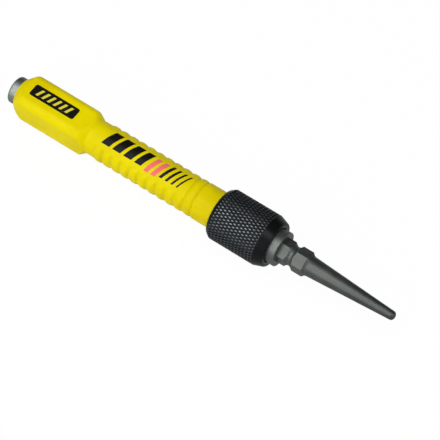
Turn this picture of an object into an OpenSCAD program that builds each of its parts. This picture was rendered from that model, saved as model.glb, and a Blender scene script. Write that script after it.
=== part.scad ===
// Nail setter: a square-headed handle with a knurled quick-release collar and a reversible bit.
// The tool's axis is X: the striking face is at X = 0 and the working tip points along +X.
// +Z comes out of the flat that faces up when the tool lies on its side. All lengths are in millimetres.

/* [Bit] */
// Width across the flats of the hexagon
hex_w = 8.7; // [7.9:0.1:9.5]
// Turn of the hexagon about the tool's axis, against the head's flats
hex_turn = 34; // [0:1:59]
// Thickness of the flange in the middle of the bit
flange_t = 4; // [2.5:0.1:5]
// Height of the flange above the chuck nose that it seats on
flange_over = 0.1; // [0:0.05:0.3]
// Rounding of the flange's two rims
flange_round = 0.6; // [0.3:0.05:0.9]
// Length of each half of the bit, from the flange to the end of its tip
bit_half_len = 48.6; // [40:0.1:56]
// Distance from the flange to the middle of the waist
waist_at = 4.8; // [4.6:0.1:6]
// Depth of the waist below the flats
waist_depth = 0.45; // [0.4:0.05:0.8]
// Radius of the waist's own arc
waist_arc_r = 1.7; // [1.6:0.05:2]
// Distance from the flange to the far end of the hexagon's corners
hex_end = 10.8; // [9:0.1:12]
// Length of the cone between the hexagon's corners and the taper
hex_run_out = 1.8; // [1:0.1:2.5]
// Radius of the thick end of the taper
taper_r = 3.85; // [3.2:0.05:3.9]
// Radius of the tip in use
tip_r = 1.7; // [1.2:0.1:2.2]
// Radius of the stored tip
stored_tip_r = 0.8; // [0.8:0.1:1.6]
// Rounding of a tip's rim, as a share of its radius
tip_round_share = 0.5; // [0.1:0.01:0.58]
// Radius of the cup in a tip's end, as a share of the tip's radius
cup_share = 0.3; // [0.2:0.01:0.4]

/* [Chuck nose] */
// Wall of the nose outside the corners of its hexagonal socket
nose_wall = 1.71; // [1.6:0.01:2.2]
// Length of nose in front of the handle
nose_len = 23.1; // [20:0.1:30]
// Length of nose that the front end of the handle covers
nose_cover_len = 4.2; // [3:0.1:8]
// Chamfer on the nose's front edge
nose_chamfer = 0.4; // [0.1:0.05:0.6]
// Spare depth of the bore beyond the stored tip
bore_spare = 1.7; // [0.5:0.1:4]

/* [Striking shaft] */
// Length of the striking end that stands out behind the handle
strike_len = 3.3; // [2:0.1:8]
// Radius of the striking end
strike_r = 5.4; // [5.2:0.05:5.6]
// Rounding of the rim of the striking face
strike_round = 0.8; // [0.3:0.1:1.5]
// Radius of the shaft inside the handle, whose rear end the striking end's shoulder bears on
shaft_r = 5.1; // [4.9:0.05:5.15]
// Width of each groove that keys the shaft into the handle
key_groove_w = 2; // [1:0.1:4]
// Depth of the key grooves
key_groove_depth = 0.5; // [0.2:0.05:0.7]
// Length of the two flats that stop the shaft from turning in the handle
key_flat_len = 14; // [6:0.5:16]
// Depth of the two flats
key_flat_depth = 0.6; // [0.3:0.05:0.8]

/* [Handle] */
// Length of the head, from its rear end to the neck
head_len = 34; // [30:0.1:44]
// Width across the flats of the square head
head_w = 15; // [14.4:0.1:16]
// Radius of the head's four long edges
head_edge_r = 3; // [2:0.1:4]
// Length of the cone at the head's rear end
head_rear_len = 3.9; // [3:0.1:6]
// Rim of handle that shows round the striking end
head_rear_rim = 0.45; // [0.3:0.05:1]
// Rounding where the rear cone meets the head
head_round = 2.5; // [1:0.1:4]
// Height at which the head's turned outline clears its long edges
head_clear = 0.15; // [0.05:0.05:0.4]
// Length of the cone between the head and the neck
shoulder_len = 2.8; // [2:0.1:5]
// Length of the plain neck in front of the shoulder
neck_len = 4.1; // [2:0.1:10]
// Wall of the handle's front ring round the chuck nose
front_ring_wall = 0.6; // [0.4:0.01:1]
// Height of the front ring above the neck
front_ring_step = 0.49; // [0.2:0.01:0.55]
// Length of the plain ring at the handle's front end
front_ring_len = 9.5; // [8.5:0.1:20]

/* [Grip ribs] */
// Number of ribs along the grip
rib_count = 11; // [6:1:14]
// Number of ribs at the front end that run all the way round
full_rib_count = 1; // [0:1:3]
// Distance from one rib to the next
rib_pitch = 4.06; // [3.5:0.01:5]
// Height of a rib above the neck
rib_height = 0.46; // [0.2:0.01:0.5]
// Width of the plain valley between two ribs
valley_w = 0.5; // [0.3:0.05:1]
// Half of the angle that the smooth panel between the ribs takes up
panel_half_angle = 45; // [30:1:70]

/* [Collar] */
// Wall of the collar round the spring chamber
collar_wall = 2.5; // [2:0.05:4]
// Clearance of the spring chamber round the handle's front ring
chamber_gap = 0.4; // [0.3:0.01:0.6]
// Distance that the collar's rear end reaches over the front end of the handle
collar_overlap = 0.8; // [0.5:0.1:3]
// Chamfer on the collar's rear rim
rear_chamfer = 1.2; // [0.4:0.1:1.6]
// Distance from the nose's front face to the collar's front face
mouth_lip = 0.9; // [0.3:0.1:2]
// Length of the cone at the collar's front end
cone_len = 4; // [2:0.1:6]
// Drop in radius along the front cone
cone_drop = 1.4; // [0.6:0.05:1.6]
// Rounding between the front cone and the front face
front_round = 0.75; // [0.2:0.05:0.8]
// Radial gap between the flange and the collar's mouth
mouth_gap = 0.4; // [0.4:0.05:0.8]
// Chamfer on the rim of the mouth
mouth_chamfer = 0.15; // [0.1:0.05:0.4]
// Length of the land that guides the collar on the nose
guide_len = 4.2; // [3:0.1:6]

/* [Chuck parts] */
// Thickness of the spring strip of the lock clip
clip_t = 0.45; // [0.3:0.05:0.6]
// Width of the lock clip's strip
clip_w = 2.9; // [2.8:0.1:3.2]
// Angle of the gap in the lock clip
clip_gap_angle = 30; // [10:1:60]
// Radius of the studs that the lock clip holds in the bit's waist
stud_r = 1.35; // [1.2:0.05:1.4]
// Number of studs on the lock clip
stud_count = 3; // [3:1:3]
// Width of nose between the lock clip's groove and the retaining ring's groove
groove_land = 0.6; // [0.5:0.05:1]
// Axial thickness of the retaining ring
ring_t = 1; // [0.7:0.05:1.2]
// Height of the retaining ring above the nose
ring_over = 0.3; // [0.2:0.05:0.35]
// Depth of the retaining ring's groove in the nose
ring_groove_depth = 0.7; // [0.4:0.05:0.9]
// Angle of the gap in the retaining ring
ring_gap_angle = 24; // [10:1:60]
// Thickness of the washer between the handle and the spring
seat_washer_t = 0.6; // [0.4:0.05:1]
// Thickness of the thrust washer between the spring and the collar
thrust_washer_t = 0.5; // [0.3:0.05:0.8]
// Diameter of the spring wire
wire_d = 0.6; // [0.4:0.05:0.65]
// Number of turns in the spring
spring_turns = 6; // [4:1:7]

/* [Fits] */
// Running clearance of the collar on the nose
run_gap = 0.06; // [0.03:0.01:0.1]
// Radial clearance between the hexagon and its socket
hex_gap = 0.1; // [0.05:0.01:0.15]
// Radial clearance between the bit's taper and the bore
bore_gap = 0.25; // [0.15:0.01:0.4]
// Gap between a stud and what it passes through or points at
stud_gap = 0.08; // [0.04:0.01:0.12]
// Gap between surfaces that seat on each other
seat_gap = 0.02; // [0.01:0.01:0.05]
// Radial gap round a washer, the lock clip or the retaining ring
ring_gap = 0.08; // [0.05:0.01:0.12]

/* [Hidden] */
$fn = 96;
// Facets round the wire of the spring, and rings along each of its turns
wire_sides = 6;
turn_rings = 20;
// Straight steps along the rounding where the rear cone meets the head
arc_steps = 6;
// Overrun of every cut past the surface that it opens
cut = 0.5;
// Places of the key grooves between the shoulder and the chuck nose, as shares of that length
key_groove_shares = [0.15, 0.5, 0.85];

// Radii, from the hexagon outwards
hex_corner_r = hex_w / 2 / cos(30);
waist_r = hex_w / 2 - waist_depth;
socket_w = hex_w + 2 * hex_gap;
nose_r = socket_w / 2 / cos(30) + nose_wall;
flange_r = nose_r + flange_over;
mouth_r = flange_r + mouth_gap;
bore_r = taper_r + bore_gap;
front_ring_r = nose_r + front_ring_wall;
neck_r = front_ring_r - front_ring_step;
rib_r = neck_r + rib_height;
head_corner_r = (head_w / 2 - head_edge_r) * sqrt(2) + head_edge_r;
head_rear_r = strike_r + head_rear_rim;
chamber_r = front_ring_r + chamber_gap;
collar_r = chamber_r + collar_wall;
ring_foot_r = nose_r - ring_groove_depth;
clip_outer_r = nose_r - ring_gap / 2;
clip_foot_r = clip_outer_r - clip_t - ring_gap;
spring_r = (nose_r + chamber_r) / 2;

// Stations along the axis, from the striking face to the working tip
x_head = strike_len;
x_neck = x_head + head_len;
x_ribs = x_neck + neck_len;
x_front_ring = x_ribs + rib_count * rib_pitch;
x_panel_end = x_front_ring - full_rib_count * rib_pitch;
x_handle_end = x_front_ring + front_ring_len;
x_nose_start = x_handle_end - nose_cover_len;
x_nose = x_handle_end + nose_len;
x_flange = x_nose + seat_gap;
x_flange_front = x_flange + flange_t;
x_tip = x_flange_front + bit_half_len;
x_bore_foot = x_flange - bit_half_len - bore_spare;
x_socket_foot = x_flange - hex_end - hex_run_out;
x_clip = x_flange - waist_at;
x_ring = x_clip + clip_w / 2 + groove_land;
x_land_front = x_ring - seat_gap;
x_land_rear = x_land_front - guide_len;
x_collar = x_handle_end - collar_overlap;
x_collar_front = x_nose + mouth_lip;
x_spring = x_handle_end + seat_washer_t + 2 * seat_gap;
x_thrust = x_land_rear - seat_gap - thrust_washer_t;
x_spring_end = x_thrust - seat_gap;

// Distance that the collar is drawn back, so that it uncovers the whole lock clip
collar_travel = clip_w + groove_land;
echo(collar_travel = collar_travel, x_nose = x_nose, x_tip = x_tip, collar_r = collar_r, nose_r = nose_r);

// Turns its children so that their own Z axis lies along the tool's X axis
module lengthwise(x = 0) translate([x, 0, 0]) rotate([0, 90, 0]) children();

// A solid disc or cylinder on the axis, from one station to another
module turned(from, to, r) lengthwise(from) cylinder(h = to - from, r = r);

// A ring or tube on the axis
module tube(from, to, inner, outer) difference() {
    turned(from, to, outer);
    turned(from - cut, to + cut, inner);
}

// A cone on the axis
module cone(from, to, r_from, r_to) lengthwise(from) cylinder(h = to - from, r1 = r_from, r2 = r_to);

// A hexagonal bar on the axis
module hexagon(from, to, w) rotate([hex_turn + 30, 0, 0])
    lengthwise(from) cylinder(h = to - from, r = w / 2 / cos(30), $fn = 6);

// A wedge whose edge is the axis, centred on +Z turned by an angle towards -Y
module wedge(from, to, half_angle, turn = 0, reach = 2 * collar_r) rotate([turn, 0, 0])
    lengthwise(from) linear_extrude(to - from)
        polygon([[0, 0], [-reach, -reach * tan(half_angle)], [-reach, reach * tan(half_angle)]]);

// Outline of a quarter of a rounded rim, to be turned about the axis: radius first, then station
module rim_outline(r, round, from, to) {
    square([r - round, to - from]);
    translate([0, round]) square([r, to - from - 2 * round]);
    translate([r - round, round]) circle(round);
    translate([r - round, to - from - round]) circle(round);
}

// A disc whose two rims are rounded
module rounded_disc(from, to, r, round)
    lengthwise(from) rotate_extrude() intersection() {
        rim_outline(r, round, from, to);
        square([r, to - from]);
    }

// The square head with its turned ends, as one solid without a bore
module head() {
    turned_r = head_corner_r + head_clear;
    slope = atan((turned_r - head_rear_r) / head_rear_len);
    // Distance from the corner of the turned outline to each end of its rounding
    reach = min(head_round * tan(slope / 2), head_rear_len / 2);
    round = reach / tan(slope / 2);
    intersection() {
        lengthwise(x_head) linear_extrude(head_len) {
            for (turn = [0, 90]) rotate(turn) square([head_w, head_w - 2 * head_edge_r], center = true);
            for (turn = [0:90:270]) rotate(turn)
                translate([head_w / 2 - head_edge_r, head_w / 2 - head_edge_r]) circle(head_edge_r);
        }
        lengthwise(x_head) rotate_extrude() polygon([
            [0, 0], [head_rear_r, 0],
            for (k = [arc_steps:-1:0]) let (a = slope * k / arc_steps)
                [turned_r - round * (1 - cos(a)), head_rear_len + reach - round * sin(a)],
            [turned_r, head_len - shoulder_len], [neck_r, head_len], [0, head_len]
        ]);
    }
}

// One rib of the grip, a low rounded bead round the neck
module rib(x) {
    // The bead's arc rises by the rib's height over half of the rib's width
    half_w = (rib_pitch - valley_w) / 2;
    arc_r = (pow(half_w, 2) + pow(rib_height, 2)) / (2 * rib_height);
    lengthwise(x) rotate_extrude() intersection() {
        translate([rib_r - arc_r, 0]) circle(arc_r);
        translate([0, -rib_pitch / 2]) square([rib_r, rib_pitch]);
    }
}

module grip() {
    // The neck starts inside the shoulder, so that the head and the grip are one solid
    turned(x_neck - shoulder_len, x_handle_end, neck_r);
    turned(x_front_ring, x_handle_end, front_ring_r);
    difference() {
        for (k = [0:rib_count - 1]) rib(x_ribs + (k + 0.5) * rib_pitch);
        wedge(x_neck, x_panel_end, panel_half_angle);
    }
}

// The outside of the striking shaft, which the handle is moulded round
module shaft_outside() {
    difference() {
        union() {
            rounded_disc(0, x_head + strike_round, strike_r, strike_round);
            turned(x_head, x_handle_end, shaft_r);
            lengthwise() rotate_extrude() polygon([
                [0, x_nose_start], [nose_r, x_nose_start], [nose_r, x_nose - nose_chamfer],
                [nose_r - nose_chamfer, x_nose], [0, x_nose]
            ]);
        }
        for (share = key_groove_shares)
            tube(
                x_neck + share * (x_nose_start - x_neck), x_neck + share * (x_nose_start - x_neck) + key_groove_w,
                shaft_r - key_groove_depth, collar_r
            );
        for (side = [0, 180]) rotate([side, 0, 0])
            translate([x_head + head_rear_len, -shaft_r, shaft_r - key_flat_depth])
                cube([key_flat_len, 2 * shaft_r, shaft_r]);
    }
}

module handle() color("gold") difference() {
    union() {
        head();
        grip();
    }
    shaft_outside();
}

module striking_shaft() color("lightslategray") difference() {
    shaft_outside();
    turned(x_bore_foot, x_nose + cut, bore_r);
    hexagon(x_socket_foot, x_nose + cut, socket_w);
    tube(x_clip - clip_w / 2 - ring_gap, x_clip + clip_w / 2 + ring_gap, clip_foot_r, collar_r);
    tube(x_ring, x_ring + ring_t + 2 * seat_gap, ring_foot_r, collar_r);
    studs(stud_r + stud_gap, nose_r);
}

// The round pegs that reach through the nose's wall into the bit's waist
module studs(r, outer) for (k = [0:stud_count - 1])
    rotate([hex_turn + k * 360 / stud_count, 0, 0]) translate([x_clip, 0, waist_r + stud_gap + stud_r]) {
        cylinder(h = outer - waist_r - stud_gap - stud_r, r = r);
        sphere(r);
    }

module lock_clip() color("silver") {
    difference() {
        tube(x_clip - clip_w / 2, x_clip + clip_w / 2, clip_outer_r - clip_t, clip_outer_r);
        wedge(x_clip - clip_w, x_clip + clip_w, clip_gap_angle / 2, hex_turn + 180 / stud_count);
    }
    studs(stud_r, clip_outer_r - clip_t / 2);
}

module retaining_ring() color("silver") difference() {
    tube(x_ring + seat_gap, x_ring + seat_gap + ring_t, ring_foot_r + ring_gap, nose_r + ring_over);
    wedge(x_ring, x_ring + 2 * ring_t, ring_gap_angle / 2, hex_turn + 180);
}

module seat_washer() color("silver")
    tube(x_handle_end + seat_gap, x_handle_end + seat_gap + seat_washer_t, nose_r + ring_gap, chamber_r - ring_gap);

module thrust_washer() color("silver")
    tube(x_thrust, x_thrust + thrust_washer_t, nose_r + ring_gap, chamber_r - ring_gap);

module collar() color("darkslategray") difference() {
    lengthwise() rotate_extrude() {
        slope = atan(cone_drop / cone_len);
        // The rounding's centre lies one radius inside both the cone and the front face
        centre_r = collar_r - cone_drop + front_round * tan(slope) - front_round / cos(slope);
        polygon([
            [0, x_collar], [collar_r - rear_chamfer, x_collar], [collar_r, x_collar + rear_chamfer],
            [collar_r, x_collar_front - cone_len],
            [centre_r + front_round * cos(slope), x_collar_front - front_round + front_round * sin(slope)],
            [centre_r, x_collar_front], [0, x_collar_front]
        ]);
        translate([centre_r, x_collar_front - front_round]) circle(front_round);
    }
    turned(x_collar - cut, x_land_rear, chamber_r);
    turned(x_land_rear - cut, x_land_front + cut, nose_r + run_gap);
    turned(x_land_front, x_collar_front + cut, mouth_r);
    cone(x_collar_front - mouth_chamfer, x_collar_front + mouth_chamfer, mouth_r, mouth_r + 2 * mouth_chamfer);
}

// Points of the spring's wire: rings of points square to the wire, along a helix about the axis
function helix(t) = let (a = 360 * spring_turns * t) [
    x_spring + wire_d / 2 + t * (x_spring_end - x_spring - wire_d), helix_r * sin(a), helix_r * cos(a)
];
helix_r = spring_r * 2 / (1 + cos(180 / turn_rings));
helix_climb = (x_spring_end - x_spring - wire_d) / spring_turns;
helix_rise = atan(helix_climb / (2 * PI * helix_r));
ring_total = turn_rings * spring_turns;
wire_points = [
    for (i = [0:ring_total]) let (t = i / ring_total, a = 360 * spring_turns * t)
        for (j = [0:wire_sides - 1]) let (b = 360 * j / wire_sides)
            helix(t) + wire_d / 2 * (
                cos(b) * [0, sin(a), cos(a)]
                + sin(b) * [cos(helix_rise), -sin(helix_rise) * cos(a), sin(helix_rise) * sin(a)]
            )
];
echo(least_gap_between_turns = helix_climb * cos(helix_rise) - wire_d);

module collar_spring() color("silver") polyhedron(
    points = wire_points,
    faces = [
        [for (j = [0:wire_sides - 1]) wire_sides - 1 - j],
        [for (j = [0:wire_sides - 1]) ring_total * wire_sides + j],
        for (i = [0:ring_total - 1]) for (j = [0:wire_sides - 1])
            let (p = i * wire_sides + j, q = i * wire_sides + (j + 1) % wire_sides)
                each [[p, q, p + wire_sides], [q, q + wire_sides, p + wire_sides]]
    ]
);

// Half of the bit, turned and milled from bar: the hexagon, its waist, the taper and the tip
module bit_half(end_r) {
    round = tip_round_share * end_r;
    // The taper starts inside the hexagon's run-out, on its own line, so that the two are one solid
    taper_back = hex_run_out / 2;
    taper_len = bit_half_len - round - hex_end - hex_run_out;
    taper_back_r = taper_r + (taper_r - end_r) * taper_back / taper_len;
    difference() {
        union() {
            intersection() {
                hexagon(-flange_t / 2, hex_end + hex_run_out, hex_w);
                // The run-out's cone goes on past the corners, which it cuts at the hexagon's end
                lengthwise() rotate_extrude() polygon([
                    [0, -flange_t], [2 * hex_corner_r - taper_r, -flange_t],
                    [2 * hex_corner_r - taper_r, hex_end - hex_run_out],
                    [taper_r, hex_end + hex_run_out], [0, hex_end + hex_run_out]
                ]);
            }
            cone(hex_end + hex_run_out - taper_back, bit_half_len - round, taper_back_r, end_r);
            lengthwise(bit_half_len - round) rotate_extrude() intersection() {
                union() {
                    square([end_r - round, round]);
                    translate([end_r - round, 0]) circle(round);
                }
                square([end_r, round]);
            }
        }
        lengthwise(waist_at) rotate_extrude() translate([waist_r + waist_arc_r, 0]) circle(waist_arc_r);
        translate([bit_half_len, 0, 0]) sphere(cup_share * end_r);
    }
}

module bit() color("dimgray") {
    rounded_disc(x_flange, x_flange_front, flange_r, flange_round);
    translate([x_flange_front, 0, 0]) bit_half(tip_r);
    translate([x_flange, 0, 0]) mirror([1, 0, 0]) bit_half(stored_tip_r);
}

handle();
striking_shaft();
collar();
collar_spring();
seat_washer();
thrust_washer();
retaining_ring();
lock_clip();
bit();
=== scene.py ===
"""Nail setter with a square-headed handle, a knurled quick-release collar and a reversible bit.

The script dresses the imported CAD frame: it builds the visible pieces as closed meshes in the frame's own
place, gives every piece its finish, and sets the floor, the lamps and the camera.

Sizes are in millimetres and are turned to metres where a mesh, a lamp or the camera is made. Angles are in
degrees and are turned to radians in the sums. A piece's place along the tool is given by stations, which are
distances from the striking face. In the names of sizes, r is a radius, w a width, d a diameter, t a
thickness and len a length.
"""

import logging
import math
from abc import ABC, abstractmethod
from collections.abc import Callable, Mapping, Sequence
from dataclasses import dataclass, replace
from enum import Enum
from functools import partial
from typing import Any

import bpy
import numpy as np
from mathutils import Matrix, Vector

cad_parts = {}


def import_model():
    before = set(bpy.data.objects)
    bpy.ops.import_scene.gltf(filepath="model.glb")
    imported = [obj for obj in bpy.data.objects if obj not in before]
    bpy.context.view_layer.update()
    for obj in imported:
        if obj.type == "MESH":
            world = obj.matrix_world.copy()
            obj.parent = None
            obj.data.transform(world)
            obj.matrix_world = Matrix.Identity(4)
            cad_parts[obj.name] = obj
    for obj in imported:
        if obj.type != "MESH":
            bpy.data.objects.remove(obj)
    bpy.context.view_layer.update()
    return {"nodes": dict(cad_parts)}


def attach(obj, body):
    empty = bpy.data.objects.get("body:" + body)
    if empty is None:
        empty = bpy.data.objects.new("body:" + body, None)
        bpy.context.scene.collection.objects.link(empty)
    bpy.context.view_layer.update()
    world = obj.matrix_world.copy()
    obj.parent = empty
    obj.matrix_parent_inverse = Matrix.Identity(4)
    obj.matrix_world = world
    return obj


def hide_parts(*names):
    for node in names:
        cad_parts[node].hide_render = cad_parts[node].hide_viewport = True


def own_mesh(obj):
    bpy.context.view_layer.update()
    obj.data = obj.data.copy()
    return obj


LOG = logging.getLogger("nail_setter")
MM = 0.001
HEX_HALF = 30.0  # degrees from the middle of a hexagon's flat to its corner
WHITE = (1.0, 1.0, 1.0)
BLACK = (0.0, 0.0, 0.0)
RULED = "ruled"  # point attribute: one where a form's own rule shapes the point
VALLEY = "valley"  # point attribute: one at the foot of a valley between two ribs

Pair = tuple[float, float]
Point = tuple[float, float]
Corner = tuple[float, float, float]
Place = tuple[float, float, float]
Colour = tuple[float, float, float]
Frame = Mapping[str, Any]
Inputs = dict[int | str, Any]


class Body(Enum):
    """The bodies of the frame that the pieces made here ride on."""

    HANDLE = "handle_body"
    COLLAR = "collar"
    BIT = "bit"


class Slot(Enum):
    """The record's material slots."""

    PLASTIC = "handle_plastic"
    SHAFT = "shaft_steel"
    BLACK = "black_oxide"
    SPRING = "spring_steel"
    BIT = "bit_steel"
    BLACK_PRINT = "print_black"
    RED_PRINT = "print_red"


class Split(Enum):
    """How a face between two rings of a turned form is divided, by the places of its four corners."""

    NONE = ((0, 1, 2, 3),)
    RISING = ((0, 1, 2), (0, 2, 3))
    FALLING = ((0, 1, 3), (1, 2, 3))


# Node trees


def operator(operation: str, reflected: bool = False) -> Callable[["Socket", "Socket | float"], "Socket"]:
    """Makes an operator of Socket out of a Math node's operation.

    Args:
        operation: The operation.
        reflected: Whether the other value comes first.

    Returns:
        The operator.
    """

    def work(this: "Socket", other: "Socket | float") -> "Socket":
        """Adds the Math node."""
        return this.nodes.math(operation, *((other, this) if reflected else (this, other)))

    return work


@dataclass(frozen=True)
class Socket:
    """The output of a node, by its place or name, which takes part in sums."""

    nodes: "Nodes"
    node: bpy.types.Node
    output: int | str = 0

    __add__ = __radd__ = operator("ADD")
    __sub__, __rsub__ = operator("SUBTRACT"), operator("SUBTRACT", reflected=True)
    __mul__ = __rmul__ = operator("MULTIPLY")
    __truediv__, __rtruediv__ = operator("DIVIDE"), operator("DIVIDE", reflected=True)
    __gt__, __lt__ = operator("GREATER_THAN"), operator("LESS_THAN")

    def part(self, output: int | str) -> "Socket":
        """Another output of the same node."""
        return Socket(self.nodes, self.node, output)


class Nodes:
    """Adds nodes to one tree, of a material, of the world or of a modifier."""

    def __init__(self, tree: bpy.types.NodeTree) -> None:
        """Keeps the tree."""
        self.tree = tree

    def node(
        self,
        kind: str,
        settings: Mapping[str, Any] | None = None,
        sockets: Mapping[int | str, Any] | None = None,
        output: int | str = 0,
    ) -> Socket:
        """Adds a node, makes its settings and then fills its sockets.

        Args:
            kind: The node's type.
            settings: Its own properties.
            sockets: The value or the link of each input, by place or name. A colour has no alpha.
            output: Place or name of the output that is wanted.

        Returns:
            The wanted output.
        """
        node = self.tree.nodes.new(kind)
        for name, value in (settings or {}).items():
            setattr(node, name, value)
        for name, value in (sockets or {}).items():
            socket = node.inputs[name]
            if isinstance(value, Socket):
                self.tree.links.new(value.node.outputs[value.output], socket)
            else:
                socket.default_value = (*value, 1.0) if socket.type == "RGBA" else value
        return Socket(self, node, output)

    def math(self, operation: str, *values: "Socket | float") -> Socket:
        """Adds a Math node."""
        return self.node("ShaderNodeMath", {"operation": operation}, dict(enumerate(values)))

    def between(self, value: Socket, low: "Socket | float", high: "Socket | float") -> Socket:
        """Rises smoothly from zero to one as the value goes from low to high."""
        ends = {0: value, 1: low, 2: high, 3: 0.0, 4: 1.0}
        return self.node("ShaderNodeMapRange", {"interpolation_type": "SMOOTHSTEP"}, ends)

    def noise(self, place: Socket, per_metre: float, detail: float) -> Socket:
        """Smooth noise with about so many waves to the metre."""
        return self.node("ShaderNodeTexNoise", None, {"Vector": place, "Scale": per_metre, "Detail": detail})

    def noises(self, *kinds: Pair) -> list[Socket]:
        """Smooth noises on the object, each by its waves to the metre and its detail."""
        return [self.noise(self.object_place(), *kind) for kind in kinds]

    def sway(self, noise: Socket, reach: float) -> Socket:
        """A noise moved to zero in the mean and stretched to a reach."""
        return reach * (noise - 0.5)

    def blend(self, mask: Socket, low: "Socket | Colour", high: "Socket | Colour") -> Socket:
        """A colour that goes from one to another as the mask goes from zero to one."""
        return self.node("ShaderNodeMix", {"data_type": "RGBA"}, {0: mask, 6: low, 7: high}, output=2)

    def bumped(self, height: Socket, depth: float, strength: float) -> Socket:
        """A normal that follows a height from zero to one, by its depth in millimetres and its strength."""
        sockets = {"Strength": strength, "Distance": depth * MM, "Height": height}
        return self.node("ShaderNodeBump", None, sockets)

    def object_place(self) -> Socket:
        """Place on the object, in metres."""
        return self.node("ShaderNodeTexCoord", output="Object")

    def round_axis(self, place: Socket) -> tuple[Socket, Socket, Socket, Socket]:
        """Takes a place apart, as the tool's axis sees it.

        Args:
            place: The place, in metres.

        Returns:
            Its X, its Y, its Z and its distance from the axis, in metres.
        """
        apart = self.node("ShaderNodeSeparateXYZ", None, {0: place})
        y, z = apart.part(1), apart.part(2)
        return apart.part(0), y, z, self.math("SQRT", y * y + z * z)

    def rays(self) -> tuple[Socket, Socket]:
        """Tells the rays apart.

        Returns:
            One for a ray from the camera, and one for a ray that a glossy or clear surface sends on.
        """
        path = self.node("ShaderNodeLightPath")
        sent_on = self.math("MAXIMUM", path.part("Is Glossy Ray"), path.part("Is Transmission Ray"))
        return path.part("Is Camera Ray"), sent_on


class FormTree(Nodes):
    """A Geometry Nodes tree with a named input for each size, which ends in a plain mesh with its finish."""

    def __init__(self, name: str, sizes: Mapping[str, float]) -> None:
        """Makes the tree and its inputs.

        Args:
            name: What the tree makes.
            sizes: The name and the value of each size.
        """
        super().__init__(bpy.data.node_groups.new(name, "GeometryNodeTree"))
        face = self.tree.interface
        face.new_socket("Geometry", in_out="INPUT", socket_type="NodeSocketGeometry")
        self.sizes = {
            face.new_socket(label, in_out="INPUT", socket_type="NodeSocketFloat").identifier: value
            for label, value in sizes.items()
        }
        face.new_socket("Geometry", in_out="OUTPUT", socket_type="NodeSocketGeometry")
        self.start = self.node("NodeGroupInput")

    def pick(self, *names: str) -> list[Socket]:
        """The named sizes."""
        return [self.start.part(name) for name in names]

    def ruled_radius(self, rule: Callable[[Socket, Socket, Socket], Sequence[Socket]]) -> Socket:
        """Moves every ruled point of a turned form to the radius that a rule gives.

        Args:
            rule: Gives the new radius from a point's station, angle and radius, in millimetres and radians. A
                second value that it gives is kept as how much of a valley the point is.

        Returns:
            The changed geometry.
        """
        x, y, z, off_axis = self.round_axis(self.node("GeometryNodeInputPosition"))
        radius = off_axis / MM
        ruled = self.node("GeometryNodeInputNamedAttribute", {"data_type": "FLOAT"}, {"Name": RULED})
        given, *valleys = rule(x / MM, self.math("ARCTAN2", y, z), radius)
        shape = self.start
        for valley in valleys:
            shape = self.node(
                "GeometryNodeStoreNamedAttribute",
                {"data_type": "FLOAT", "domain": "POINT"},
                {"Geometry": shape, "Name": VALLEY, "Value": valley * ruled},
            )
        scale = 1 + ruled * (given / radius - 1)
        moved = self.node("ShaderNodeCombineXYZ", None, {0: x, 1: y * scale, 2: z * scale})
        return self.node("GeometryNodeSetPosition", None, {"Geometry": shape, "Position": moved})

    def bake(self, piece: bpy.types.Object, shape: Socket, finish: bpy.types.Material) -> None:
        """Ends the tree and leaves its result as the piece's own mesh.

        Args:
            piece: The object that the tree works on.
            shape: The geometry that the tree makes.
            finish: The material of the result.
        """
        real = self.node("GeometryNodeRealizeInstances", None, {"Geometry": shape})
        dressed = self.node("GeometryNodeSetMaterial", None, {"Geometry": real, "Material": finish})
        self.node("NodeGroupOutput", None, {0: dressed})
        modifier = piece.modifiers.new(self.tree.name, "NODES")
        modifier.node_group = self.tree
        for identifier, value in self.sizes.items():
            modifier[identifier] = value
        graph = bpy.context.evaluated_depsgraph_get()
        mesh = bpy.data.meshes.new_from_object(piece.evaluated_get(graph))
        piece.modifiers.remove(modifier)
        piece.data = mesh
        if RULED in mesh.attributes:
            mesh.attributes.remove(mesh.attributes[RULED])


# Turned forms


@dataclass(frozen=True)
class Section:
    """A stretch of the profile of a turned form.

    Attributes:
        points: Station and radius of each ring, in millimetres.
        flats: Width across the flats where the stretch is a hexagon, or zero where it is round.
        core: Radius of the round core that a hexagon runs down to, or zero where its profile cuts it.
        ruled: Whether the form's own rule shapes the stretch.
    """

    points: Sequence[Point]
    flats: float = 0.0
    core: float = 0.0
    ruled: bool = False

    def radii(self, radius: float, angles: np.ndarray, turn: float, edge: float) -> np.ndarray:
        """Radius of one ring at each angle.

        Args:
            radius: The profile's radius at the ring.
            angles: Angles round the axis, in degrees.
            turn: Angle of one flat's normal.
            edge: How far a hexagon's long edges are eased.

        Returns:
            The radii.
        """
        if not self.flats:
            return np.full(len(angles), radius)
        hexagon = hexagon_radius(angles, self.flats, turn)
        if not self.core:
            return smooth_min(hexagon, radius, edge)
        corner = corner_radius(self.flats)
        share = (radius - self.core) / (corner - self.core)
        return self.core + (smooth_min(hexagon, corner, edge) - self.core) * share


def corner_radius(flats: float) -> float:
    """Distance from the axis to the corner of a hexagon, from its width across the flats."""
    return flats / 2 / math.cos(math.radians(HEX_HALF))


def hexagon_radius(angles: np.ndarray, flats: float, turn: float) -> np.ndarray:
    """Distance from the axis to a hexagon at each angle in degrees, with a flat's normal at the turn."""
    fold = np.abs((angles - turn + HEX_HALF) % (2 * HEX_HALF) - HEX_HALF)
    return flats / 2 / np.cos(np.radians(fold))


def smooth_min(first: np.ndarray, second: float, reach: float) -> np.ndarray:
    """The smaller of two values, rounded where they are less than a reach apart."""
    overlap = np.maximum(reach - np.abs(first - second), 0) / reach
    return np.minimum(first, second) - overlap**3 * reach / 6


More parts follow.
